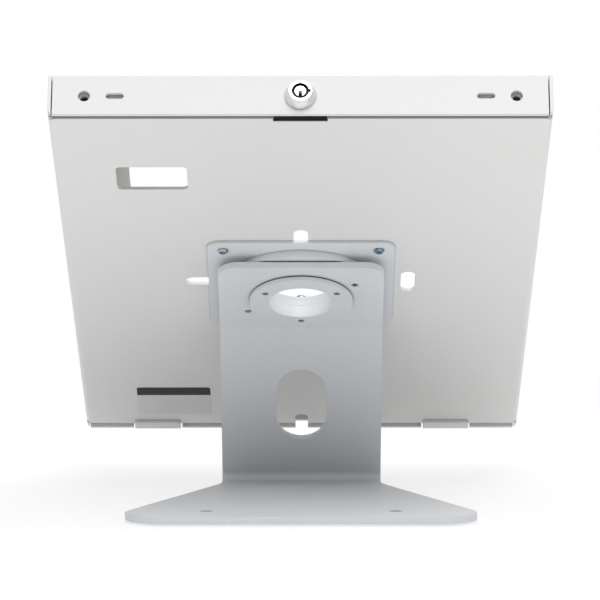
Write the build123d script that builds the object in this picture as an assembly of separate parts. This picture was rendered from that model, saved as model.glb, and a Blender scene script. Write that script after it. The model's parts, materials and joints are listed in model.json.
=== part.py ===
from build123d import *
from math import atan2, cos, radians, sin, sqrt, tan
import os

# A tilted tablet enclosure turns on a bent steel stand. Sizes are in millimetres.
# The person at the tablet sits on the +Y side. The stand's back and its wide base point to -Y.

# Angles, in degrees
panel_tilt = 60
upright_tilt = 30
retainer_screw_angles = (30, 150, 270)
head_hole_angles = (29, 209)
lock_washer_step = 30

# Sheets, bends and general clearances
panel_sheet = 1.5
panel_bend = 1.0
stand_sheet = 3.2
stand_bend = 3.0
nest_gap = 0.5
washer_gap = 0.1
running_gap = 0.06
thread_gap = 0.05
soft_gap = 0.3
cut_over = 6.0

# Enclosure, measured from the swivel axis along the panel
case_width = 227.2
top_reach = 170.3
bottom_reach = 171.8
case_depth = 20.7
bezel_recess = 0.3
end_gap = 1.5
cover_lip = 0.5
top_flange_depth = 15.0
bottom_flange_depth = 6.0
cover_side_depth = 10.0
window_side_margin = 32.6
window_end_margin = 60.0
window_corner = 6.0
relief_radius = 2.0
relief_setback = 5.0
corner_slit = 0.8

# Openings in the back plate
side_port_width = 32.9
side_port_height = 21.9
side_port_edge_setback = 44.7
side_port_top_setback = 62.0
port_corner = 2.5
slot_width = 7.0
slot_overlap = 10.0
top_slot_out = 10.8
left_slot_width = 8.0
left_slot_out = 11.3
left_slot_y = 1.6
right_slot_out = 7.1
right_slot_length = 21.0
right_slot_y = 1.0
bottom_notch_width = 6.6
bottom_notch_length = 12.5
bottom_notch_depth = 3.6
tray_bore_radius = 25.0

# Hooks of the cover that lie behind the tray's lower edge
hook_width = 24.0
hook_setback = 37.6
hook_length = 8.9
hook_gap = 0.3
hook_root = 3.0
hook_relief = 0.8

# Adapter plate and its screws
vesa_pitch = 75.0
vesa_plate_width = 90.0
vesa_plate_corner = 6.0
vesa_plate_sheet = 1.5
vesa_screw_radius = 2.5
vesa_screw_past = 1.2
vesa_hole_radius = 2.75
vesa_head_radius = 4.5
vesa_head_height = 2.7
vesa_socket = 3.0

# Swivel
cable_bore_radius = 16.0
spacer_radius = 38.0
spacer_height = 3.4
washer_height = 0.5
neck_radius = 22.0
washer_bore_radius = 22.3
inner_washer_radius = 31.5
retainer_radius = 25.1
retainer_rim = 1.9
retainer_pitch_radius = 20.0
retainer_screw_radius = 1.5
retainer_hole_radius = 1.65
retainer_head_radius = 2.8
retainer_head_height = 2.0
retainer_socket = 2.0
screw_end_recess = 0.3

# Stand
strip_width = 80.4
head_up = 33.1
head_down = 32.5
head_corner = 10.0
upright_length = 94.0
cable_slot_width = 25.0
cable_slot_length = 42.4
head_hole_radius = 1.65
head_hole_pitch_radius = 29.8
grub_length = 2.6
grub_socket = 1.5
grub_recess = 0.1
base_depth = 153.4
base_neck = 14.5
base_corner_half = 92.4
base_corner_radius = 20.0
base_flare_gap = 1.1
desk_hole_radius = 3.4
desk_hole_spacing = 90.0
desk_hole_setback = 24.0
foot_radius = 7.0
foot_height = 1.0
near_foot_x = 64.0
near_foot_setback = 18.0
far_foot_x = 30.0
far_foot_setback = 14.0

# Round and slotted holes in the cover's top wall
security_hole_setback = 16.3
security_hole_radius = 2.7
security_thread_radius = 1.8
wall_slot_setback = 30.1
wall_slot_length = 8.1
wall_slot_width = 2.8

# Cam lock in the top wall
lock_depth = 9.0
lock_nose_height = 5.0
lock_nose_radius = 7.2
lock_face_radius = 5.5
lock_thread_radius = 6.0
lock_flat = 5.2
lock_body_length = 16.5
lock_key_depth = 4.2
key_ring_outer = 3.9
key_ring_inner = 2.8
key_notch_width = 1.6
key_notch_reach = 4.7
barrel_radius = 4.2
shank_width = 5.0
cam_sheet = 1.8
cam_hub_radius = 4.6
cam_half_width = 3.2
cam_tip_gap = 0.4
cam_screw_radius = 1.5
cam_screw_depth = 5.0
cam_head_radius = 3.0
cam_head_height = 2.0
lock_washer_radius = 7.0
lock_washer_sheet = 0.8
lock_nut_flats = 14.0
lock_nut_height = 3.0
lock_cutout_half = 12.3
lock_cutout_setback = 7.4
guard_sheet = 0.8
guard_wall = 1.5
guard_recess = 0.2

# Keeper that holds the turned cam
keeper_near_x = 5.2
keeper_roof_gap = 0.4
keeper_web_x = 12.5
keeper_far_setback = 22.5
keeper_near_setback = 12.5

# Foam corners that locate the tablet
tablet_side_margin = 26.2
tablet_end_margin = 45.4
foam_wall = 12.0
foam_leg_x = 38.0
foam_leg_y = 32.0
foam_front_gap = 2.0
foam_ledge = 5.0
foam_ledge_height = 7.7

# Blank label on the back plate
label_width = 38.0
label_height = 33.0
label_sheet = 0.2
label_corner = 1.5
label_edge_setback = 47.2
label_bottom_setback = 33.0

# Places that follow from the sizes above
half_width = case_width / 2
case_length = top_reach + bottom_reach
top_wall_y = top_reach - panel_sheet
bottom_wall_y = panel_sheet - bottom_reach
top_flange_y = top_wall_y - end_gap
bottom_flange_y = bottom_wall_y + end_gap
cover_half = half_width - panel_sheet - nest_gap
bezel_front = -(case_depth - bezel_recess)
bezel_back = bezel_front + panel_sheet
outer_bend = panel_sheet + panel_bend
hinge_y = hook_length - bottom_reach
hinge_z = hook_gap
window_width = case_width - 2 * window_side_margin
window_length = case_length - 2 * window_end_margin
window_y = (top_reach - bottom_reach) / 2
tablet_width = case_width - 2 * tablet_side_margin
tablet_length = case_length - 2 * tablet_end_margin
foam_height = -bezel_back - panel_sheet - soft_gap - foam_front_gap
hook_x = half_width - hook_setback
security_hole_x = half_width - security_hole_setback
wall_slot_x = half_width - wall_slot_setback
vesa_edge = vesa_plate_width / 2
lock_cutout_end = top_reach - lock_cutout_setback
nut_seat = -panel_sheet - guard_sheet - lock_washer_sheet
cam_reach = lock_depth - panel_sheet - cam_tip_gap
spacer_top = vesa_plate_sheet + spacer_height
head_front = spacer_top + washer_height + washer_gap
head_back = head_front + stand_sheet
retainer_seat = head_back + washer_gap + washer_height
retainer_face = retainer_seat + retainer_rim
lock_z = -lock_depth

# The part's origin is under the middle of its outline, on the surface that it stands on
tilt_sin = sin(radians(panel_tilt))
tilt_cos = cos(radians(panel_tilt))
rear_reach = tilt_sin * (top_reach + lock_nose_height) + tilt_cos * (lock_z + lock_face_radius)
front_corner = (bottom_reach - outer_bend, case_depth - outer_bend)
front_reach = tilt_sin * front_corner[0] + tilt_cos * front_corner[1] + outer_bend
base_top = foot_height + stand_sheet
lean_sin = sin(radians(upright_tilt))
lean_cos = cos(radians(upright_tilt))
axis_y = (rear_reach - front_reach) / 2
axis_z = base_top + upright_length * lean_cos + head_down * tilt_cos + head_back * tilt_sin
bend_y = axis_y + head_down * tilt_sin - head_back * tilt_cos
bend_z = axis_z - head_down * tilt_cos - head_back * tilt_sin
crease_y = bend_y + upright_length * lean_sin
near_edge_y = crease_y - base_depth
base_flare = atan2(base_corner_half - strip_width / 2, base_depth - base_neck)
flare_run = base_neck - stand_bend - stand_sheet - base_flare_gap
base_flare_radius = flare_run / tan(base_flare / 2)

# The panel's frame: origin where the swivel axis meets the back plate's outer face,
# x across, y up the panel and z out of the back
panel = Plane(origin=(0, axis_y, axis_z), x_dir=(1, 0, 0), z_dir=(0, -tilt_cos, -tilt_sin))

# The lock's frame on the panel: origin on the top wall's outer face, z out of the wall
lock_wall = Plane(origin=(0, top_reach, lock_z), x_dir=(1, 0, 0), z_dir=(0, 1, 0))
lock_frame = Plane(panel.location * lock_wall.location)


def block(low, high):
    """A box between two corners."""
    size = [b - a for a, b in zip(low, high)]
    middle = [(a + b) / 2 for a, b in zip(low, high)]
    return Pos(*middle) * Box(*size)


def post(x, y, radius, low, high):
    """A round bar along z."""
    return Pos(x, y, (low + high) / 2) * Cylinder(radius, high - low)


def ring(outer, inner, low, high):
    """A flat ring round z."""
    return post(0, 0, outer, low, high) - post(0, 0, inner, low - cut_over, high + cut_over)


def cutter(sketch, x, y, low, high):
    """A sketch pushed through a plate along z."""
    return extrude(Pos(x, y, low) * sketch, amount=high - low)


def socket(x, y, flats, low, high):
    """A hexagon socket or bar along z."""
    return cutter(RegularPolygon(flats / 2, 6, major_radius=False), x, y, low, high)


def ring_places(angles, radius):
    """Points on a circle."""
    return [(radius * cos(radians(a)), radius * sin(radians(a))) for a in angles]


def right_normal(start, end):
    """The unit normal on the right of a run."""
    run = (Vector(*end) - Vector(*start)).normalized()
    return Vector(run.Y, -run.X)


def folded_face(inside, sheet, bend):
    """The section of a folded sheet. Its inside face follows points that turn left."""
    normals = [right_normal(a, b) for a, b in zip(inside, inside[1:])]
    outside = [Vector(*inside[0]) + normals[0] * sheet]
    for point, before, after in zip(inside[1:-1], normals, normals[1:]):
        outside.append(Vector(*point) + (before + after) * (sheet / (1 + before.dot(after))))
    outside.append(Vector(*inside[-1]) + normals[-1] * sheet)
    lines = [
        FilletPolyline(*inside, radius=bend),
        FilletPolyline(*outside, radius=bend + sheet),
        Line(inside[0], outside[0]),
        Line(inside[-1], outside[-1]),
    ]
    return make_face([edge for line in lines for edge in line.edges()])


def along_x(face, half):
    """A section in y and z, pushed both ways along x."""
    return extrude(Plane.YZ * face, amount=half, both=True)


def along_y(face, low, high):
    """A section in x and z, pushed along y."""
    return extrude(Plane.XZ.offset(-high) * face, amount=high - low)


def place(name, shape, frame=None):
    """Moves a piece from its own frame to the part's and writes it."""
    placed = shape if frame is None else frame.location * shape
    solids = placed.solids()
    export_step(Compound(children=list(solids)) if len(solids) > 1 else solids[0], f"parts/{name}.step")


def base_outline():
    """The base plate seen from above: a neck that flares to a wide rounded end."""
    half = strip_width / 2
    neck_y = crease_y - base_neck
    start_y = crease_y - stand_bend - stand_sheet
    right = [(half, start_y), (half, neck_y), (base_corner_half, near_edge_y)]
    left = [(-x, y) for x, y in reversed(right)]
    plate = make_face(Polyline(*right, *left, close=True).edges())
    near = plate.vertices().group_by(Axis.Y)[0]
    plate = fillet(near, base_corner_radius)
    flare = [v for v in plate.vertices() if abs(v.Y - neck_y) < stand_sheet]
    return fillet(flare, base_flare_radius)


def stand_plate():
    """Base, upright and head, bent from one sheet."""
    head_top_y = axis_y - head_up * tilt_sin - head_back * tilt_cos
    head_top_z = axis_z + head_up * tilt_cos - head_back * tilt_sin
    start_y = near_edge_y + base_corner_radius
    path = [(start_y, base_top), (crease_y, base_top), (bend_y, bend_z), (head_top_y, head_top_z)]
    strip = along_x(folded_face(path, stand_sheet, stand_bend), strip_width / 2)
    tip = strip.faces().sort_by(Axis.Z)[-1]
    strip = fillet(tip.edges().sort_by(SortBy.LENGTH)[:2], head_corner)
    plate = strip + extrude(Pos(0, 0, foot_height) * base_outline(), amount=stand_sheet)
    middle = ((crease_y + bend_y) / 2, (base_top + bend_z) / 2)
    upright = Plane(origin=(0, *middle), x_dir=(1, 0, 0), z_dir=(0, -lean_cos, -lean_sin))
    slot = SlotOverall(cable_slot_length, cable_slot_width, rotation=90)
    plate -= upright.location * cutter(slot, 0, 0, -stand_sheet - cut_over, cut_over)
    bore = post(0, 0, neck_radius + running_gap, head_front - cut_over, head_back + cut_over)
    plate -= panel.location * bore
    for x, y in ring_places(head_hole_angles, head_hole_pitch_radius):
        hole = post(x, y, head_hole_radius + thread_gap, head_front - cut_over, head_back + cut_over)
        plate -= panel.location * hole
    for side in (-1, 1):
        x = side * desk_hole_spacing / 2
        plate -= post(x, near_edge_y + desk_hole_setback, desk_hole_radius, 0, base_top + cut_over)
    return plate


def foot(x, y):
    """A rubber foot under the base, with a rounded lower rim."""
    pad = post(x, y, foot_radius, 0, foot_height)
    rim = pad.edges().group_by(Axis.Z)[0]
    return chamfer(rim, foot_height / 4)


def grub_screw():
    """The headless screw in one of the head's two threaded holes."""
    x, y = ring_places(head_hole_angles[:1], head_hole_pitch_radius)[0]
    high = head_back - grub_recess
    low = high - grub_length
    screw = post(x, y, head_hole_radius, low, high)
    return screw - socket(x, y, grub_socket, high - grub_length / 2, high + cut_over)


def spacer_ring():
    """The steel ring between the adapter plate and the head."""
    body = ring(spacer_radius, cable_bore_radius, vesa_plate_sheet, spacer_top)
    for x, y in ring_places(retainer_screw_angles, retainer_pitch_radius):
        body -= post(x, y, retainer_hole_radius, 0, spacer_top + cut_over)
    return body


def retainer_bush():
    """The flanged bush that the head turns on. Its rim holds the head."""
    body = post(0, 0, neck_radius, spacer_top, retainer_seat)
    body += post(0, 0, retainer_radius, retainer_seat, retainer_face)
    body -= post(0, 0, cable_bore_radius, 0, retainer_face + cut_over)
    for x, y in ring_places(retainer_screw_angles, retainer_pitch_radius):
        body -= post(x, y, retainer_screw_radius + thread_gap, 0, retainer_face + cut_over)
    return body


def pan_screw(x, y, radius, low, high, head_radius, head_height, flats):
    """A screw along z with its domed socket head at the low end."""
    head = post(x, y, head_radius, low - head_height, low)
    crown = head.edges().group_by(Axis.Z)[0]
    head = fillet(crown, head_height / 2)
    end = post(x, y, radius, low, high)
    end = chamfer(end.edges().group_by(Axis.Z)[-1], radius / 4)
    return head + end - socket(x, y, flats, low - head_height - cut_over, low - head_height / 2)


def retainer_screws():
    """Three screws from the adapter plate's front, through the spacer, into the bush."""
    places = ring_places(retainer_screw_angles, retainer_pitch_radius)
    sizes = (retainer_head_radius, retainer_head_height, retainer_socket)
    high = retainer_face - screw_end_recess
    return Compound(children=[pan_screw(x, y, retainer_screw_radius, 0, high, *sizes) for x, y in places])


def vesa_places():
    """The four hole places of the square screw pattern."""
    half = vesa_pitch / 2
    return [(x, y) for x in (-half, half) for y in (-half, half)]


def vesa_plate():
    """The square adapter plate with threaded corner holes."""
    outline = RectangleRounded(vesa_plate_width, vesa_plate_width, vesa_plate_corner)
    plate = cutter(outline, 0, 0, 0, vesa_plate_sheet)
    plate -= post(0, 0, cable_bore_radius, -cut_over, cut_over)
    for x, y in vesa_places():
        plate -= post(x, y, vesa_screw_radius + thread_gap, -cut_over, cut_over)
    for x, y in ring_places(retainer_screw_angles, retainer_pitch_radius):
        plate -= post(x, y, retainer_hole_radius, -cut_over, cut_over)
    return plate


def vesa_screws():
    """Four screws put in from inside the tray, so that they can't be reached while it is shut."""
    high = vesa_plate_sheet + vesa_screw_past
    sizes = (vesa_head_radius, vesa_head_height, vesa_socket)
    screws = [pan_screw(x, y, vesa_screw_radius, -panel_sheet, high, *sizes) for x, y in vesa_places()]
    return Compound(children=screws)


def tray_shell():
    """The tray's back plate with its four walls, before the cut-outs."""
    wall = half_width - panel_sheet
    side_path = [(wall, -case_depth), (wall, -panel_sheet), (-wall, -panel_sheet), (-wall, -case_depth)]
    sides = along_y(folded_face(side_path, panel_sheet, panel_bend), -bottom_reach, top_reach)
    wall_tips = sides.edges().filter_by(Axis.X).group_by(Axis.Z)[0]
    sides = fillet(wall_tips, outer_bend)
    bend_x = half_width - outer_bend
    sides -= block((-bend_x, -case_width, -case_depth), (bend_x, case_width, cut_over))
    sides -= block((-wall, top_reach - relief_setback, -case_depth), (wall, top_reach + cut_over, cut_over))
    sides -= block((-wall, -bottom_reach - cut_over, -case_depth), (wall, relief_setback - bottom_reach, cut_over))
    top = top_flange_y - panel_sheet
    bottom = bottom_flange_y + panel_sheet
    top_end = [(top, -top_flange_depth), (top, -panel_sheet)]
    bottom_end = [(bottom, -panel_sheet), (bottom, -bottom_flange_depth)]
    long_path = top_end + bottom_end
    shell = sides + along_x(folded_face(long_path, panel_sheet, panel_bend), bend_x)
    for side in (-1, 1):
        for y in (top_reach - relief_setback, relief_setback - bottom_reach):
            shell -= post(side * half_width, y, relief_radius, -panel_sheet - panel_bend, cut_over)
    return shell


def back_plate_cuts():
    """The openings that go through the tray's back plate."""
    low = -panel_sheet - cut_over
    port = RectangleRounded(side_port_width, side_port_height, port_corner)
    top_slot = SlotOverall(slot_overlap + top_slot_out, slot_width, rotation=90)
    right_slot = SlotOverall(right_slot_length, slot_width, rotation=90)
    left_slot = SlotOverall(slot_overlap + left_slot_out, left_slot_width)
    slots = [
        (port, side_port_edge_setback - half_width, top_reach - side_port_top_setback),
        (top_slot, 0, vesa_edge + (top_slot_out - slot_overlap) / 2),
        (right_slot, vesa_edge + right_slot_out, right_slot_y),
        (left_slot, -vesa_edge - (left_slot_out - slot_overlap) / 2, left_slot_y),
    ]
    cuts = [cutter(sketch, x, y, low, cut_over) for sketch, x, y in slots]
    cuts.append(post(0, 0, tray_bore_radius, low, cut_over))
    cuts += [post(x, y, vesa_hole_radius, low, cut_over) for x, y in vesa_places()]
    notch_end = -bottom_reach + bottom_notch_length
    half = bottom_notch_width / 2
    cuts.append(post(0, notch_end, half, low, cut_over))
    cuts.append(block((-half, -bottom_reach, -case_depth), (half, notch_end, cut_over)))
    return cuts


def rear_tray():
    """The rear half of the enclosure."""
    tray = tray_shell()
    for cut in back_plate_cuts():
        tray -= cut
    low = (-lock_cutout_half, lock_cutout_end, -case_depth)
    tray -= block(low, (lock_cutout_half, top_reach, cut_over))
    for side in (-1, 1):
        thread = Cylinder(security_thread_radius, 2 * (panel_sheet + nest_gap))
        tray -= Pos(side * security_hole_x, top_flange_y - panel_sheet / 2, lock_z) * Rot(90, 0, 0) * thread
    return tray


def cover_shell():
    """The cover's front plate with full-height end walls and low side flanges."""
    outer = block((-cover_half, -bottom_reach, bezel_front), (cover_half, top_reach, cover_lip))
    outer = fillet(outer.faces().sort_by(Axis.Z)[0].edges(), outer_bend)
    low = (-cover_half + panel_sheet, bottom_wall_y, bezel_back)
    inner = block(low, (cover_half - panel_sheet, top_wall_y, cover_lip + cut_over))
    inner = fillet(inner.faces().sort_by(Axis.Z)[0].edges(), panel_bend)
    shell = outer - inner
    side_top = bezel_front + cover_side_depth
    shell -= block((-case_width, bottom_wall_y, side_top), (case_width, top_wall_y, cover_lip + cut_over))
    flange_y = top_flange_y - panel_sheet - nest_gap
    slit_y = bottom_wall_y + corner_slit
    for side in (-1, 1):
        near = side * (cover_half - outer_bend)
        far = side * (cover_half + cut_over)
        for low, high in ((flange_y, top_wall_y), (bottom_wall_y, slit_y)):
            shell -= block((min(near, far), low, bezel_front + outer_bend), (max(near, far), high, side_top))
    return shell


def hook(x):
    """A tab of the bottom wall, folded over the back of the tray. The cover swings on its tip."""
    path = [(hinge_y, hook_gap), (bottom_wall_y, hook_gap), (bottom_wall_y, -hook_root)]
    return Pos(x, 0, 0) * along_x(folded_face(path, panel_sheet, panel_bend), hook_width / 2)


def front_cover():
    """The front half of the enclosure, with the window."""
    cover = cover_shell()
    for side in (-1, 1):
        half = hook_width / 2 + hook_relief
        low = (side * hook_x - half, -bottom_reach - cut_over, -hook_root)
        cover -= block(low, (side * hook_x + half, bottom_wall_y + nest_gap, cover_lip + cut_over))
        cover += hook(side * hook_x)
    half = bottom_notch_width / 2
    low = (-half, -bottom_reach - cut_over, -bottom_notch_depth)
    cover -= block(low, (half, bottom_wall_y + nest_gap, cover_lip + cut_over))
    window = RectangleRounded(window_width, window_length, window_corner)
    cover -= cutter(window, 0, window_y, bezel_front - cut_over, bezel_back + cut_over)
    wall = top_reach - panel_sheet / 2
    through = 2 * panel_sheet
    across = Cylinder(lock_thread_radius + thread_gap, through)
    flats = Box(2 * (lock_flat + thread_gap), case_width, through)
    cover -= Pos(0, wall, lock_z) * Rot(90, 0, 0) * (across & flats)
    slot = extrude(SlotOverall(wall_slot_length, wall_slot_width), amount=through / 2, both=True)
    hole = Cylinder(security_hole_radius, through)
    for side in (-1, 1):
        cover -= Pos(side * security_hole_x, wall, lock_z) * Rot(90, 0, 0) * hole
        cover -= Pos(side * wall_slot_x, wall, lock_z) * Rot(90, 0, 0) * slot
    return cover


def lock_body():
    """The lock's housing: a tapered nose, a threaded barrel with two flats and a key ring."""
    nose = Pos(0, 0, lock_nose_height / 2) * Cone(lock_nose_radius, lock_face_radius, lock_nose_height)
    nose = fillet(nose.edges().group_by(Axis.Z)[-1], lock_key_depth / 8)
    thread = post(0, 0, lock_thread_radius, -lock_body_length, 0)
    thread &= block((-lock_flat, -case_width, -lock_body_length), (lock_flat, case_width, 0))
    body = nose + thread
    shoulder = lock_nose_height - lock_key_depth
    body -= post(0, 0, barrel_radius + running_gap, -lock_body_length - cut_over, shoulder)
    body -= post(0, 0, key_ring_outer, shoulder, lock_nose_height + cut_over)
    low = (0, -key_notch_width / 2, shoulder)
    body -= block(low, (key_notch_reach, key_notch_width / 2, lock_nose_height + cut_over))
    return body


def lock_guard():
    """A plastic cap under the washer. It fills the notch in the tray beside the lock."""
    half = lock_cutout_half - soft_gap
    high = -panel_sheet
    low = soft_gap - lock_cutout_setback
    rear = guard_recess - lock_depth
    front = lock_nut_flats / 2
    cap = block((-half, rear, low), (half, front, high))
    inner = half - guard_wall
    cap -= block((-inner, rear + guard_wall, low - cut_over), (inner, front + cut_over, high - guard_sheet))
    return cap - post(0, 0, lock_thread_radius + thread_gap, low, high + cut_over)


def lock_washer():
    """A toothed washer under the nut."""
    high = nut_seat + lock_washer_sheet
    washer = ring(lock_washer_radius, lock_thread_radius + nest_gap, high - lock_washer_sheet, high)
    tooth = (lock_washer_radius - lock_thread_radius) / 4
    for x, y in ring_places(range(0, 360, lock_washer_step), lock_washer_radius):
        washer -= post(x, y, tooth, high - lock_washer_sheet, high)
    return washer


def lock_nut():
    """The hexagon nut that holds the lock in the wall."""
    high = nut_seat
    low = high - lock_nut_height
    nut = socket(0, 0, lock_nut_flats, low, high)
    corners = lock_nut_flats / sqrt(3)
    nut &= chamfer(post(0, 0, corners, low, high).edges().group_by(Axis.Z)[0], lock_nut_height / 6)
    return nut - post(0, 0, lock_thread_radius + thread_gap, low - cut_over, high + cut_over)


def lock_barrel():
    """The turning plug: a core inside the key ring, a round body and a square shank."""
    shoulder = lock_nose_height - lock_key_depth - washer_gap
    end = -lock_body_length - washer_gap
    plug = post(0, 0, barrel_radius, end, shoulder)
    core = post(0, 0, key_ring_inner, shoulder, lock_nose_height - screw_end_recess)
    plug += chamfer(core.edges().group_by(Axis.Z)[-1], screw_end_recess)
    half = shank_width / 2
    shank_end = end - cam_sheet - washer_gap
    plug += block((-half, -half, shank_end), (half, half, end))
    notch = key_notch_width / 2
    plug -= block((-notch, -key_ring_inner, shoulder), (notch, 0, lock_nose_height))
    return plug - post(0, 0, cam_screw_radius + thread_gap, shank_end, end + cam_screw_depth)


def lock_cam():
    """The blade on the shank. Unlocked, it points at the back plate."""
    high = -lock_body_length - 2 * washer_gap
    low = high - cam_sheet
    cam = block((-cam_half_width, -cam_reach, low), (cam_half_width, 0, high))
    cam &= post(0, 0, cam_reach, low, high)
    cam += post(0, 0, cam_hub_radius, low, high)
    hole = shank_width / 2 + thread_gap
    return cam - block((-hole, -hole, low - cut_over), (hole, hole, high + cut_over))


def cam_screw():
    """The screw that holds the cam on the shank."""
    shank_end = -lock_body_length - cam_sheet - 2 * washer_gap
    head_low = shank_end - washer_gap - cam_head_height
    head = post(0, 0, cam_head_radius, head_low, shank_end - washer_gap)
    head = fillet(head.edges().group_by(Axis.Z)[0], cam_head_height / 2)
    screw = head + post(0, 0, cam_screw_radius, shank_end - washer_gap, shank_end + cam_screw_depth)
    slot = cam_head_height / 4
    return screw - block((-cam_head_radius, -slot, head_low), (cam_head_radius, slot, head_low + 2 * slot))


def keeper_bracket():
    """A channel on the back plate. Its roof traps the cam when the key is turned."""
    roof = lock_z - cam_half_width - keeper_roof_gap
    floor = -2 * panel_sheet
    path = [(keeper_near_x, roof), (keeper_web_x, roof), (keeper_web_x, floor), (keeper_near_x, floor)]
    section = folded_face(path, panel_sheet, panel_bend)
    return along_y(section, top_reach - keeper_far_setback, top_reach - keeper_near_setback)


def foam_corner(side, end):
    """An L of foam round one corner of the tablet, with a ledge under its end."""
    x = tablet_width / 2
    y = tablet_length / 2
    high = -panel_sheet - soft_gap
    low = high - foam_height
    pad = block((x + foam_wall - foam_leg_x, y, low), (x + foam_wall, y + foam_wall, high))
    pad += block((x, y + foam_wall - foam_leg_y, low), (x + foam_wall, y + foam_wall, high))
    ledge_low = (x + foam_wall - foam_leg_x, y - foam_ledge, high - foam_ledge_height)
    pad += block(ledge_low, (x + foam_wall, y, high))
    if end < 0:
        pad = mirror(pad, Plane.XZ)
    if side < 0:
        pad = mirror(pad, Plane.YZ)
    return Pos(0, window_y, 0) * pad


def blank_label():
    """A thin plain label on the back plate."""
    sheet = RectangleRounded(label_width, label_height, label_corner)
    x = label_edge_setback - half_width
    y = label_bottom_setback - bottom_reach
    return cutter(sheet, x, y, 0, label_sheet)


os.makedirs("parts", exist_ok=True)
place("stand_plate", stand_plate())
foot_places = [
    (side * x, y)
    for x, y in ((near_foot_x, near_edge_y + near_foot_setback), (far_foot_x, crease_y - far_foot_setback))
    for side in (-1, 1)
]
for number, (foot_x, foot_y) in enumerate(foot_places, 1):
    place(f"foot_{number}", foot(foot_x, foot_y))
place("grub_screw", grub_screw(), panel)
place("spacer_ring", spacer_ring(), panel)
inner_high = spacer_top + washer_height
outer_low = retainer_seat - washer_height
place("inner_washer", ring(inner_washer_radius, washer_bore_radius, spacer_top, inner_high), panel)
place("outer_washer", ring(retainer_radius, washer_bore_radius, outer_low, retainer_seat), panel)
place("retainer_bush", retainer_bush(), panel)
place("retainer_screws", retainer_screws(), panel)
place("vesa_plate", vesa_plate(), panel)
place("vesa_screws", vesa_screws(), panel)
place("rear_tray", rear_tray(), panel)
place("front_cover", front_cover(), panel)
place("keeper_bracket", keeper_bracket(), panel)
place("blank_label", blank_label(), panel)
for number, (side, end) in enumerate(((-1, 1), (1, 1), (-1, -1), (1, -1)), 1):
    place(f"foam_corner_{number}", foam_corner(side, end), panel)
place("lock_body", lock_body(), lock_frame)
place("lock_guard", lock_guard(), lock_frame)
place("lock_washer", lock_washer(), lock_frame)
place("lock_nut", lock_nut(), lock_frame)
place("lock_barrel", lock_barrel(), lock_frame)
place("lock_cam", lock_cam(), lock_frame)
place("cam_screw", cam_screw(), lock_frame)

print("swivel axis point", axis_y, axis_z)
print("hinge point on the panel", hinge_y, hinge_z)
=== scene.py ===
"""Looks for a tablet security kiosk stand, seen from behind. Metres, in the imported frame."""

import json
import math

import bmesh
import bpy
from mathutils import Matrix, Vector


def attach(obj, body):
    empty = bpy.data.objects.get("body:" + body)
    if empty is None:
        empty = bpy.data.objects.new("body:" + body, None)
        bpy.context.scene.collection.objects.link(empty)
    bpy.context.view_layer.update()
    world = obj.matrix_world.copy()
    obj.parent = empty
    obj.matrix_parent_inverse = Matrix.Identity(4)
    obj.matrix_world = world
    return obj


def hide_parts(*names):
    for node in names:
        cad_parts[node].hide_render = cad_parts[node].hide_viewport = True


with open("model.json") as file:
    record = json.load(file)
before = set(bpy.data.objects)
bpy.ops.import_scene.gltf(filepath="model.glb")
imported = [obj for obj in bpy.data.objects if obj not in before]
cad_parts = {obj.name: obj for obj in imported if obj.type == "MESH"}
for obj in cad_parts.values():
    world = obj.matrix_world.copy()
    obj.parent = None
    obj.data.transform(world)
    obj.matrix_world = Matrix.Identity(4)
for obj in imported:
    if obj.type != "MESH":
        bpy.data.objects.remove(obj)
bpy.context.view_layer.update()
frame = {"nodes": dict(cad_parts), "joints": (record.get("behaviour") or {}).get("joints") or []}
nodes = frame["nodes"]
joints = {joint["name"]: joint for joint in frame["joints"]}
scene = bpy.context.scene

MM = 0.001

# The enclosure's frame: x across, y up the panel, z out of its back
PANEL_UP = Vector(joints["lock_turn"]["axis"])
PANEL_OUT = Vector(joints["swivel"]["axis"])
SWIVEL_POINT = Vector(joints["swivel"]["pos_m"])
LOCK_POINT = Vector(joints["lock_turn"]["pos_m"])
PANEL = Matrix.Translation(SWIVEL_POINT) @ Matrix((
    (1, 0, 0, 0),
    (0, PANEL_UP.y, PANEL_OUT.y, 0),
    (0, PANEL_UP.z, PANEL_OUT.z, 0),
    (0, 0, 0, 1),
))


def panel_box(name):
    """A node's lowest and highest corners in the enclosure's frame, at rest."""
    to_panel = PANEL.inverted()
    places = [to_panel @ vertex.co for vertex in nodes[name].data.vertices]
    low = Vector([min(place[axis] for place in places) for axis in range(3)])
    high = Vector([max(place[axis] for place in places) for axis in range(3)])
    return low, high


# Camera

CAMERA_POINT = Vector((3.67, -1848.78, 224.76)) * MM
CAMERA_TURN = math.radians(-0.131)
CAMERA_PITCH = math.radians(3.845)
CAMERA_ROLL = math.radians(-0.042)
FARTHEST_SEEN = 30

# In millimetres, as a camera takes them
SENSOR_WIDTH = 36
LENS_LENGTH = 226.85


def add_camera():
    """The photograph's camera: a long lens behind the stand, a little above it and turned a hair."""
    ahead = Vector((math.sin(CAMERA_TURN), math.cos(CAMERA_TURN), 0))
    level = Vector((math.cos(CAMERA_TURN), -math.sin(CAMERA_TURN), 0))
    forward = ahead * math.cos(CAMERA_PITCH) - Vector((0, 0, math.sin(CAMERA_PITCH)))
    upright = ahead * math.sin(CAMERA_PITCH) + Vector((0, 0, math.cos(CAMERA_PITCH)))
    right = level * math.cos(CAMERA_ROLL) + upright * math.sin(CAMERA_ROLL)
    up = upright * math.cos(CAMERA_ROLL) - level * math.sin(CAMERA_ROLL)
    data = bpy.data.cameras.new("camera")
    data.sensor_width = SENSOR_WIDTH
    data.lens = LENS_LENGTH
    data.clip_end = FARTHEST_SEEN
    camera = bpy.data.objects.new("camera", data)
    axes = Matrix((right, up, -forward)).transposed().to_4x4()
    camera.matrix_world = Matrix.Translation(CAMERA_POINT) @ axes
    scene.collection.objects.link(camera)
    scene.camera = camera


# Node trees

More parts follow.
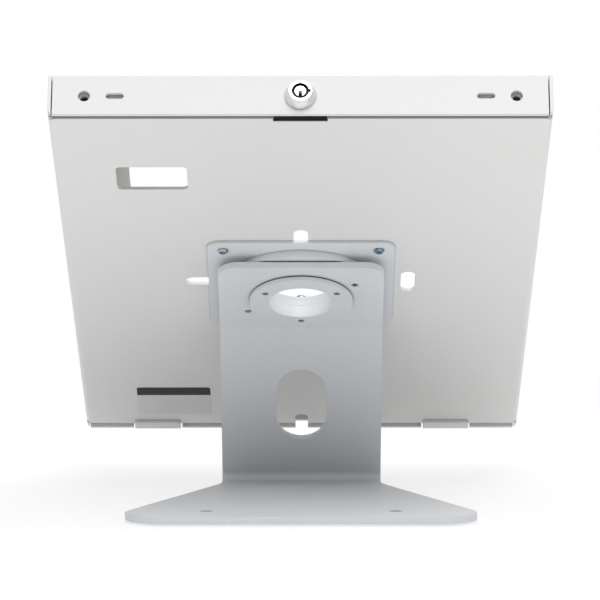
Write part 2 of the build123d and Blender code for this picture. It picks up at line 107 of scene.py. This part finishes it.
WHITE = (1, 1, 1)
SHADER_SAMPLES = 6
NOISE_SPREAD = (0.3, 0.7)
EDGE_SPREAD = (0.75, 0.995)

# A mix node's sockets for colours
MIX_FIRST, MIX_SECOND, MIX_RESULT = 6, 7, 2


class Tree:
    """A node tree, with short calls for the nodes that the finishes, the floor and the world use."""

    def __init__(self, owner):
        owner.use_nodes = True
        self.tree = owner.node_tree
        self.tree.nodes.clear()
        self.places = self.add("ShaderNodeTexCoord").outputs

    def add(self, kind):
        return self.tree.nodes.new(kind)

    def feed(self, socket, value):
        """Links an output, or sets a plain value or an opaque colour."""
        if isinstance(value, bpy.types.NodeSocket):
            self.tree.links.new(value, socket)
        elif socket.type == "RGBA":
            socket.default_value = (*value, 1)
        else:
            socket.default_value = value

    def span(self, value, low, high, to_low, to_high, curve="LINEAR"):
        """A value between low and high, brought between to_low and to_high."""
        node = self.add("ShaderNodeMapRange")
        node.interpolation_type = curve
        for socket, number in zip(node.inputs, (value, low, high, to_low, to_high)):
            self.feed(socket, number)
        return node.outputs[0]

    def math(self, operation, first, second=0.0):
        node = self.add("ShaderNodeMath")
        node.operation = operation
        self.feed(node.inputs[0], first)
        self.feed(node.inputs[1], second)
        return node.outputs[0]

    def vector(self, operation, first, second=(0, 0, 0)):
        node = self.add("ShaderNodeVectorMath")
        node.operation = operation
        self.feed(node.inputs[0], first)
        self.feed(node.inputs[1], second)
        return node.outputs["Value" if operation in ("LENGTH", "DOT_PRODUCT") else "Vector"]

    def rays(self, *kinds):
        """1 for rays of any of these kinds."""
        path = self.add("ShaderNodeLightPath")
        share = path.outputs[f"Is {kinds[0]} Ray"]
        for kind in kinds[1:]:
            share = self.math("MAXIMUM", share, path.outputs[f"Is {kind} Ray"])
        return share

    def glow(self, kind, colour, strength):
        """A shader that gives off light, for a surface or for the world."""
        node = self.add(kind)
        self.feed(node.inputs["Color"], colour)
        self.feed(node.inputs["Strength"], strength)
        return node.outputs[0]

    def mix_shader(self, share, first, second):
        node = self.add("ShaderNodeMixShader")
        for socket, value in zip(node.inputs, (share, first, second)):
            self.feed(socket, value)
        return node.outputs[0]


class Finish(Tree):
    """A material for the object: one surface shader and what feeds it."""

    def __init__(self, name):
        self.material = bpy.data.materials.new(name)
        super().__init__(self.material)
        self.place = self.places["Object"]
        self.shader = self.add("ShaderNodeBsdfPrincipled")
        self.feed(self.add("ShaderNodeOutputMaterial").inputs["Surface"], self.shader.outputs[0])

    def noise(self, scale, detail, rough=0.5, distortion=0.0):
        node = self.add("ShaderNodeTexNoise")
        self.feed(node.inputs["Vector"], self.place)
        node.inputs["Scale"].default_value = scale
        node.inputs["Detail"].default_value = detail
        node.inputs["Roughness"].default_value = rough
        node.inputs["Distortion"].default_value = distortion
        return node.outputs[0]

    def cells(self, scale):
        node = self.add("ShaderNodeTexVoronoi")
        self.feed(node.inputs["Vector"], self.place)
        node.inputs["Scale"].default_value = scale
        return node.outputs["Distance"]

    def above(self, value, low, high, most=1.0):
        """0 below low, rising to most at high."""
        return self.span(value, low, high, 0.0, most)

    def below(self, value, low, high, most=1.0):
        """most below low, falling to 0 at high."""
        return self.span(value, low, high, most, 0.0)

    def gloss(self, value, smooth, rough):
        """A roughness that follows a noise."""
        return self.span(value, *NOISE_SPREAD, smooth, rough)

    def scaled(self, value, share):
        return self.math("MULTIPLY", value, share)

    def total(self, *terms):
        """The sum of some values, each times its share."""
        (value, share), *others = terms
        result = self.scaled(value, share)
        for value, share in others:
            result = self.math("ADD", result, self.scaled(value, share))
        return result

    def mix(self, share, first, second):
        node = self.add("ShaderNodeMix")
        node.data_type = "RGBA"
        self.feed(node.inputs[0], share)
        self.feed(node.inputs[MIX_FIRST], first)
        self.feed(node.inputs[MIX_SECOND], second)
        return node.outputs[MIX_RESULT]

    def along(self, point, axis):
        """Distance past a plane through point, square to axis."""
        return self.vector("DOT_PRODUCT", self.vector("SUBTRACT", self.place, tuple(point)), tuple(axis))

    def turned(self, rings):
        """Fine turning rings round the lock's axis."""
        offset = self.vector("SUBTRACT", self.place, tuple(LOCK_POINT))
        away = self.vector("LENGTH", self.vector("CROSS_PRODUCT", offset, tuple(PANEL_UP)))
        return self.math("SINE", self.scaled(away, rings))

    def rounded(self, radius):
        """The surface normal with its sharp edges rounded."""
        node = self.add("ShaderNodeBevel")
        node.samples = SHADER_SAMPLES
        node.inputs["Radius"].default_value = radius
        return node.outputs[0]

    def edges(self, soft_normal):
        """1 at the sharp edges, 0 on the flats."""
        true = self.add("ShaderNodeNewGeometry").outputs["Normal"]
        return self.below(self.vector("DOT_PRODUCT", soft_normal, true), *EDGE_SPREAD)

    def crevice(self, reach, own=False):
        """0 deep in a seam or corner, 1 in the open."""
        node = self.add("ShaderNodeAmbientOcclusion")
        node.samples = SHADER_SAMPLES
        node.only_local = own
        node.inputs["Distance"].default_value = reach
        return node.outputs["AO"]

    def bump(self, height, strength, distance, normal=None):
        node = self.add("ShaderNodeBump")
        node.inputs["Strength"].default_value = strength
        node.inputs["Distance"].default_value = distance
        self.feed(node.inputs["Height"], height)
        if normal is not None:
            self.feed(node.inputs["Normal"], normal)
        return node.outputs[0]

    def finish(self, colour, roughness, normal, **values):
        self.feed(self.shader.inputs["Base Color"], colour)
        self.feed(self.shader.inputs["Roughness"], roughness)
        self.feed(self.shader.inputs["Normal"], normal)
        for name, value in values.items():
            self.shader.inputs[name.replace("_", " ")].default_value = value
        return self.material


def shade(colour, share):
    return tuple(min(1.0, channel * share) for channel in colour)


# Painted sheet, and the places up the panel and out of its back where painted shade darkens its seams

COVER_LOW, COVER_HIGH = panel_box("front_cover")
LIP_SHADE_START = COVER_HIGH.y - 5.4 * MM
LIP_SHADE_FULL = COVER_HIGH.y - 4.6 * MM
LIP_SHADE_LAST = COVER_HIGH.y - 2.7 * MM
LIP_SHADE_END = COVER_HIGH.y - 2.3 * MM
LIP_DEPTH_START = -2.4 * MM
LIP_DEPTH_FULL = -1.9 * MM
LOWER_SEAMS = COVER_LOW.y + 12.8 * MM
LOWER_SEAMS_END = LOWER_SEAMS + 2 * MM
LOWER_SEAM_SHADE_SHARE = 0.12
FOLD_REACH = 80 * MM
SEAM_SHADE = 0.14
LIP_SHADE = 0.12
FOLD_SHADE = 0.35


def painted_colour(look, colour, speckle, grain, broad, soft):
    """Speckled paint with a few dark flecks, slightly cloudy, paler on its sharp edges."""
    dark = shade(colour, 1 - speckle)
    pale = shade(colour, 1 + speckle / 2)
    fleck = shade(colour, 1 - 2.2 * speckle)
    paint = look.mix(look.above(grain, 0.35, 0.65), dark, pale)
    paint = look.mix(look.below(look.cells(scale=900), 0.05, 0.22, most=0.35), paint, fleck)
    paint = look.mix(look.above(broad, 0.35, 0.65, most=0.5), paint, shade(colour, 0.985))
    return look.mix(look.scaled(look.edges(soft), 0.35), paint, shade(colour, 1.06))


def lip_shade(look, up):
    """Painted shadow in the deep seam between the tray's bend and the lip of the cover."""
    out = look.along(SWIVEL_POINT, PANEL_OUT)
    past_bend = look.above(up, LIP_SHADE_START, LIP_SHADE_FULL, most=0.85)
    before_lip = look.below(up, LIP_SHADE_LAST, LIP_SHADE_END)
    near_back = look.above(out, LIP_DEPTH_START, LIP_DEPTH_FULL)
    return look.math("MULTIPLY", look.math("MULTIPLY", past_bend, before_lip), near_back)


def powder_coat(name, colour, speckle, roughness, seam, folds=0.0):
    """Baked powder coat: fine grain over a slight orange peel, with painted shade in the seams.

    seam is how far that painted shade reaches, and the openness between which it fades. folds is
    how much painted shade darkens the piece's own folds. The enclosure's lower edge faces the
    bright floor, so little of the painted seam shade stays there.
    """
    reach, closed, clear = seam
    look = Finish(name)
    grain = look.noise(scale=1300, detail=3, rough=0.65)
    broad = look.noise(scale=9, detail=2)
    peel = look.noise(scale=420, detail=1)
    soft = look.rounded(0.45 * MM)
    paint = painted_colour(look, colour, speckle, grain, broad, soft)
    up = look.along(SWIVEL_POINT, PANEL_UP)
    # Painted shade in seams and corners, only faint along the enclosure's lower edge
    seam_shade_kept = look.span(up, LOWER_SEAMS, LOWER_SEAMS_END, LOWER_SEAM_SHADE_SHARE, 1.0)
    painted_shade_share = look.math("MULTIPLY", look.below(look.crevice(reach), closed, clear, most=0.92), seam_shade_kept)
    paint = look.mix(painted_shade_share, paint, shade(colour, SEAM_SHADE))
    # Painted shadow in the seam under the cover's lip
    paint = look.mix(lip_shade(look, up), paint, shade(colour, LIP_SHADE))
    if folds:
        # Painted shade in the piece's own folds, such as the stand's crease
        painted_fold_shade = look.below(look.crevice(FOLD_REACH, own=True), 0.25, 0.9, most=folds)
        paint = look.mix(painted_fold_shade, paint, shade(colour, FOLD_SHADE))
    fine_gloss = look.gloss(grain, roughness - 0.05, roughness + 0.06)
    gloss = look.math("ADD", fine_gloss, look.gloss(broad, -0.02, 0.03))
    normal = look.bump(look.total((peel, 0.7), (grain, 0.3)), 0.35, 0.05 * MM, soft)
    return look.finish(paint, gloss, normal, Specular_IOR_Level=0.45)


# Metals

def zinc_plate(name, turned=False, recess=0.9):
    """Bluish bright zinc with faint cloudy passivation, and rings where it is turned.

    recess is how dark the painted shade in its recesses gets.
    """
    look = Finish(name)
    cloud = look.noise(scale=420, detail=3, rough=0.6)
    tint = look.noise(scale=120, detail=1)
    height = look.noise(scale=2600, detail=2)
    if turned:
        height = look.total((look.turned(rings=16000), 0.25), (height, 1.0))
    soft = look.rounded(0.15 * MM)
    colour = look.mix(look.above(cloud, 0.42, 0.60), (0.07, 0.13, 0.19), (0.38, 0.48, 0.55))
    colour = look.mix(look.above(tint, 0.45, 0.7, most=0.3), colour, (0.52, 0.49, 0.38))
    colour = look.mix(look.scaled(look.edges(soft), 0.5), colour, (0.72, 0.77, 0.82))
    # Painted shade, near black, in the recesses
    painted_shade_share = look.below(look.crevice(1.2 * MM), 0.3, 0.8, most=recess)
    colour = look.mix(painted_shade_share, colour, (0.02, 0.03, 0.04))
    normal = look.bump(height, 0.25, 0.02 * MM, soft)
    return look.finish(colour, look.gloss(cloud, 0.26, 0.42), normal, Metallic=1.0)


def nickel_plate(name):
    """Bright nickel with faint turning rings, and painted shade, near black, in its grooves."""
    look = Finish(name)
    cloud = look.noise(scale=500, detail=3)
    soft = look.rounded(0.2 * MM)
    colour = look.mix(look.above(cloud, 0.35, 0.7), (0.72, 0.72, 0.72), (0.82, 0.81, 0.80))
    # Painted shade, near black, in the grooves
    colour = look.mix(look.below(look.crevice(2.2 * MM), 0.25, 0.88), colour, (0.008, 0.008, 0.009))
    normal = look.bump(look.total((look.turned(rings=14000), 0.3), (cloud, 0.7)), 0.12, 0.01 * MM, soft)
    return look.finish(colour, look.gloss(cloud, 0.10, 0.22), normal, Metallic=1.0)


def black_oxide(name):
    """Blackened steel with a thin oil film and faint turning rings."""
    look = Finish(name)
    cloud = look.noise(scale=300, detail=4, rough=0.6)
    soft = look.rounded(0.12 * MM)
    colour = look.mix(look.above(cloud, 0.35, 0.7), (0.020, 0.020, 0.023), (0.045, 0.043, 0.042))
    normal = look.bump(look.total((look.turned(rings=12000), 0.3), (cloud, 1.0)), 0.2, 0.02 * MM, soft)
    return look.finish(colour, look.gloss(cloud, 0.32, 0.5), normal)


# Plastics, rubber and foam

def slide_plastic(name):
    """Dark low-friction plastic with fine rubbed scratches."""
    look = Finish(name)
    scratch = look.noise(scale=700, detail=4, rough=0.7, distortion=0.4)
    colour = look.mix(look.above(scratch, 0.4, 0.7), (0.035, 0.036, 0.04), (0.075, 0.076, 0.08))
    normal = look.bump(scratch, 0.3, 0.02 * MM, look.rounded(0.1 * MM))
    return look.finish(colour, look.gloss(scratch, 0.45, 0.65), normal)


def grained_plastic(name):
    """Moulded black plastic with a fine spark-eroded grain."""
    look = Finish(name)
    grain = look.noise(scale=2200, detail=3, rough=0.6)
    colour = look.mix(look.above(grain, 0.35, 0.65), (0.006, 0.006, 0.006), (0.012, 0.012, 0.012))
    normal = look.bump(grain, 0.35, 0.03 * MM, look.rounded(0.15 * MM))
    return look.finish(colour, look.gloss(grain, 0.5, 0.66), normal, Specular_IOR_Level=0.08)


def foot_rubber(name):
    """Moulded black rubber, a little dusty."""
    look = Finish(name)
    grain = look.noise(scale=1800, detail=3)
    dust = look.noise(scale=160, detail=4, rough=0.65)
    colour = look.mix(look.above(dust, 0.45, 0.75, most=0.7), (0.018, 0.018, 0.019), (0.075, 0.073, 0.07))
    normal = look.bump(grain, 0.4, 0.03 * MM, look.rounded(0.2 * MM))
    return look.finish(colour, look.gloss(dust, 0.72, 0.9), normal)


def cell_foam(name):
    """Die-cut closed-cell foam: small open cells on the cut faces."""
    look = Finish(name)
    cells = look.cells(scale=950)
    large = look.cells(scale=420)
    cloud = look.noise(scale=70, detail=3)
    colour = look.mix(look.above(cells, 0.1, 0.6), (0.018, 0.018, 0.020), (0.055, 0.055, 0.058))
    colour = look.mix(look.above(cloud, 0.4, 0.7, most=0.4), colour, (0.075, 0.074, 0.074))
    gloss = look.span(cells, 0.0, 0.6, 0.95, 0.8)
    normal = look.bump(look.total((cells, 0.7), (large, 0.3)), 0.7, 0.12 * MM)
    return look.finish(colour, gloss, normal, Sheen_Weight=0.15, Sheen_Roughness=0.6)


# Label

BAND_SHARE = 0.27
BAND_BLUR = 0.15 * MM


def plain_label(name, node):
    """A blank satin film with a dark band along its upper edge and nothing printed on it."""
    low, high = panel_box(node)
    band_edge = high.y - (high.y - low.y) * BAND_SHARE
    look = Finish(name)
    fibre = look.noise(scale=1500, detail=3)
    band = look.above(look.along(SWIVEL_POINT, PANEL_UP), band_edge, band_edge + BAND_BLUR)
    film = look.mix(look.above(fibre, 0.35, 0.65), (0.79, 0.79, 0.775), (0.83, 0.83, 0.815))
    ink = look.mix(look.above(fibre, 0.35, 0.65), (0.010, 0.010, 0.011), (0.016, 0.016, 0.017))
    normal = look.bump(fibre, 0.15, 0.01 * MM, look.rounded(0.05 * MM))
    colour = look.mix(band, film, ink)
    return look.finish(colour, look.gloss(fibre, 0.38, 0.5), normal, Specular_IOR_Level=0.1)


# Finishes on the CAD nodes

# Paints, and how far each one's painted seam shade reaches and between which openness it fades
WHITE_PAINT = (0.865, 0.865, 0.845)
WHITE_SEAM_SHADE = (1.5 * MM, 0.12, 0.78)
SILVER_PAINT = (0.825, 0.837, 0.86)
SILVER_SEAM_SHADE = (2.8 * MM, 0.05, 0.74)
SHARP_NODE_ANGLE = math.radians(28)


def dress(names, material):
    for name in names:
        slots = nodes[name].data.materials
        slots.clear()
        slots.append(material)


def shade_by_angle():
    """Curved faces stay smooth, and the sheet's edges stay crisp."""
    for node in nodes.values():
        node.data.shade_smooth()
        node.data.set_sharp_from_angle(angle=SHARP_NODE_ANGLE)


def dress_nodes():
    silver_look = {"colour": SILVER_PAINT, "speckle": 0.05, "roughness": 0.42, "seam": SILVER_SEAM_SHADE}
    # The stand's silver has painted shade in its folds; the bush's copy of it has none, so its bore stays
    # pale
    silver = powder_coat("silver_powder_coat", folds=0.45, **silver_look)
    bush = powder_coat("bush_powder_coat", **silver_look)
    white = powder_coat(
        "white_powder_coat", colour=WHITE_PAINT, speckle=0.035, roughness=0.44, seam=WHITE_SEAM_SHADE
    )
    dress(["rear_tray", "front_cover", "keeper_bracket"], white)
    dress(["stand_plate", "vesa_plate", "spacer_ring"], silver)
    dress(["retainer_bush"], bush)
    dress(["foot_1", "foot_2", "foot_3", "foot_4"], foot_rubber("foot_rubber"))
    dress(["retainer_screws", "vesa_screws"], zinc_plate("zinc"))
    # The grub screw's copy of the zinc has only faint painted shade in its recess
    dress(["grub_screw"], zinc_plate("grub_zinc", recess=0.25))
    dress(["lock_cam", "cam_screw"], zinc_plate("zinc_turned", turned=True))
    dress(["lock_washer", "lock_nut"], black_oxide("black_oxide"))
    dress(["lock_guard"], grained_plastic("black_plastic"))
    dress(["lock_body", "lock_barrel"], nickel_plate("nickel"))
    dress(["inner_washer", "outer_washer"], slide_plastic("slide_plastic"))
    dress(["blank_label"], plain_label("plain_label", "blank_label"))


# Foam corners

FOAM_COUNT = 4
FOAM_WALL = 12 * MM
FOAM_CROWN = 3 * MM
FOAM_TIP = 1 * MM
FOAM_LEDGE = 5 * MM
FOAM_LEDGE_HEIGHT = 7.7 * MM
FOAM_OVERLAP = 0.02 * MM
ARC_STEPS = 6
FOAM_ROUNDING = 0.7 * MM
ROUNDING_STEPS = 3
ROUNDED_ANGLE = math.radians(40)
SHARP_FOAM_ANGLE = math.radians(35)


def prism(name, outline, low, high):
    """A closed prism over a flat outline, in the panel's frame."""
    mesh = bmesh.new()
    face = mesh.faces.new([mesh.verts.new((x, y, low)) for x, y in outline])
    made = bmesh.ops.extrude_face_region(mesh, geom=[face])
    upper = [item for item in made["geom"] if isinstance(item, bmesh.types.BMVert)]
    bmesh.ops.translate(mesh, verts=upper, vec=(0, 0, high - low))
    bmesh.ops.recalc_face_normals(mesh, faces=mesh.faces)
    data = bpy.data.meshes.new(name)
    mesh.to_mesh(data)
    mesh.free()
    piece = bpy.data.objects.new(name, data)
    scene.collection.objects.link(piece)
    return piece


def arc(x, y, radius, start, end):
    """Points round a quarter turn, in degrees."""
    shares = [step / ARC_STEPS for step in range(ARC_STEPS + 1)]
    angles = [math.radians(start + (end - start) * share) for share in shares]
    return [(x + radius * math.cos(angle), y + radius * math.sin(angle)) for angle in angles]


def apply_modifiers(piece):
    graph = bpy.context.evaluated_depsgraph_get()
    data = bpy.data.meshes.new_from_object(piece.evaluated_get(graph))
    piece.modifiers.clear()
    piece.data = data


def foam_wall(outer_x, outer_y, near_x, near_y):
    """The outline of the wall round the tablet's corner, in the corner of positive x and y."""
    inner_x = outer_x - FOAM_WALL
    inner_y = outer_y - FOAM_WALL
    return (
        arc(outer_x - FOAM_CROWN, outer_y - FOAM_CROWN, FOAM_CROWN, 0, 90)
        + arc(near_x + FOAM_TIP, outer_y - FOAM_TIP, FOAM_TIP, 90, 180)
        + [(near_x, inner_y)]
        + arc(inner_x - FOAM_CROWN, inner_y - FOAM_CROWN, FOAM_CROWN, 90, 0)
        + [(inner_x, near_y)]
        + arc(outer_x - FOAM_TIP, near_y + FOAM_TIP, FOAM_TIP, 270, 360)
    )


def foam_ledge(outer_x, outer_y, near_x):
    """The outline of the ledge that the tablet's end lies on."""
    low_x = near_x + FOAM_OVERLAP
    high_x = outer_x - FOAM_CROWN
    low_y = outer_y - FOAM_WALL - FOAM_LEDGE
    high_y = outer_y - FOAM_CROWN
    return [(low_x, low_y), (high_x, low_y), (high_x, high_y), (low_x, high_y)]


def join(piece, other):
    union = piece.modifiers.new("join", "BOOLEAN")
    union.operation = "UNION"
    union.solver = "EXACT"
    union.object = other
    apply_modifiers(piece)
    bpy.data.objects.remove(other)


def soften(piece):
    rounding = piece.modifiers.new("soften", "BEVEL")
    rounding.width = FOAM_ROUNDING
    rounding.segments = ROUNDING_STEPS
    rounding.limit_method = "ANGLE"
    rounding.angle_limit = ROUNDED_ANGLE
    apply_modifiers(piece)
    piece.data.shade_smooth()
    piece.data.set_sharp_from_angle(angle=SHARP_FOAM_ANGLE)


def foam_piece(number, material):
    """One die-cut corner, drawn for positive x and y and mirrored to where its CAD solid is."""
    low, high = panel_box(f"foam_corner_{number}")
    side = math.copysign(1, low.x)
    end = math.copysign(1, low.y)
    near_x, outer_x = sorted((abs(low.x), abs(high.x)))
    near_y, outer_y = sorted((abs(low.y), abs(high.y)))
    piece = prism(f"foam_pad_{number}", foam_wall(outer_x, outer_y, near_x, near_y), low.z, high.z)
    ledge = foam_ledge(outer_x, outer_y, near_x)
    step = prism(f"foam_step_{number}", ledge, high.z - FOAM_LEDGE_HEIGHT, high.z - FOAM_OVERLAP)
    join(piece, step)
    piece.data.transform(PANEL @ Matrix.Diagonal((side, end, 1, 1)))
    if side * end < 0:
        piece.data.flip_normals()
    soften(piece)
    piece.data.materials.clear()
    piece.data.materials.append(material)
    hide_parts(f"foam_corner_{number}")
    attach(piece, "enclosure")


def add_foam():
    material = cell_foam("cell_foam")
    for number in range(1, FOAM_COUNT + 1):
        foam_piece(number, material)


# Floor, world and light

FLOOR_PAPER = (0.955, 0.955, 0.95)
FLOOR_GLOW = 0.16
FLOOR_RADIUS = 9.0
FLOOR_SIDES = 96
FLOOR_CLEARANCE = 0.2 * MM
FADE_START = 0.25
FADE_END = 0.75
FADE_LEAST = 0.70
SKY_COLOUR = (0.97, 0.985, 1.0)
SKY_LEVEL = 0.21
SKY_ABOVE = 0.83
DARK_SIDES = 0.12
DARK_ASIDE = (0.2, 0.45)
DARK_HEIGHT = (0.2, 0.5)
LAMP_SIZE = 1.2


def add_floor():
    """A white floor that keeps a soft shadow near the stand and fades to pure white further out."""
    material = bpy.data.materials.new("studio_floor")
    tree = Tree(material)
    diffuse = tree.add("ShaderNodeBsdfDiffuse")
    tree.feed(diffuse.inputs["Color"], FLOOR_PAPER)
    paper = diffuse.outputs[0]
    lit = tree.add("ShaderNodeAddShader")
    tree.feed(lit.inputs[0], paper)
    tree.feed(lit.inputs[1], tree.glow("ShaderNodeEmission", WHITE, FLOOR_GLOW))
    away = tree.vector("LENGTH", tree.places["Object"])
    fade = tree.span(away, FADE_START, FADE_END, FADE_LEAST, 1.0, curve="SMOOTHSTEP")
    seen = tree.mix_shader(fade, lit.outputs[0], tree.glow("ShaderNodeEmission", WHITE, 1.0))
    surface = tree.mix_shader(tree.rays("Camera", "Glossy", "Transmission"), paper, seen)
    tree.feed(tree.add("ShaderNodeOutputMaterial").inputs["Surface"], surface)
    mesh = bmesh.new()
    bmesh.ops.create_circle(mesh, cap_ends=True, segments=FLOOR_SIDES, radius=FLOOR_RADIUS)
    data = bpy.data.meshes.new("studio_floor")
    mesh.to_mesh(data)
    mesh.free()
    floor = bpy.data.objects.new("studio_floor", data)
    floor.location = (0, 0, -FLOOR_CLEARANCE)
    scene.collection.objects.link(floor)
    data.materials.append(material)


def add_world():
    """White surroundings. Shiny metal also meets the studio's dark sides, low beside the backdrop."""
    scene.world = bpy.data.worlds.new("studio")
    tree = Tree(scene.world)
    parts = tree.add("ShaderNodeSeparateXYZ")
    tree.feed(parts.inputs[0], tree.places["Generated"])
    across = parts.outputs["X"]
    height = parts.outputs["Z"]
    brightness = tree.span(height, 0.0, 1.0, SKY_LEVEL, SKY_ABOVE)
    sky = tree.glow("ShaderNodeBackground", SKY_COLOUR, brightness)
    aside = tree.span(tree.math("ABSOLUTE", across), *DARK_ASIDE, 0.0, 1.0)
    dark = tree.math("MULTIPLY", aside, tree.span(height, *DARK_HEIGHT, 1.0, 0.0))
    white = tree.glow("ShaderNodeBackground", WHITE, 1.0)
    studio = tree.mix_shader(dark, white, tree.glow("ShaderNodeBackground", WHITE, DARK_SIDES))
    lit = tree.mix_shader(tree.rays("Glossy"), sky, studio)
    surface = tree.mix_shader(tree.rays("Camera", "Transmission"), lit, white)
    tree.feed(tree.add("ShaderNodeOutputWorld").inputs["Surface"], surface)


def add_lamp(name, place, target, power):
    data = bpy.data.lights.new(name, "AREA")
    data.shape = "DISK"
    data.size = LAMP_SIZE
    data.energy = power
    lamp = bpy.data.objects.new(name, data)
    lamp.location = place
    aim = Vector(target) - Vector(place)
    lamp.rotation_euler = aim.to_track_quat("-Z", "Y").to_euler()
    scene.collection.objects.link(lamp)


def add_lamps():
    add_lamp("key", place=(0.15, -1.0, 1.8), target=(0, 0, 0.1), power=14.5)
    add_lamp("front_fill", place=(0.9, 1.6, 1.1), target=(0, 0, 0.12), power=7)


add_camera()
shade_by_angle()
dress_nodes()
add_foam()
add_floor()
add_world()
add_lamps()
scene.view_settings.view_transform = "Standard"
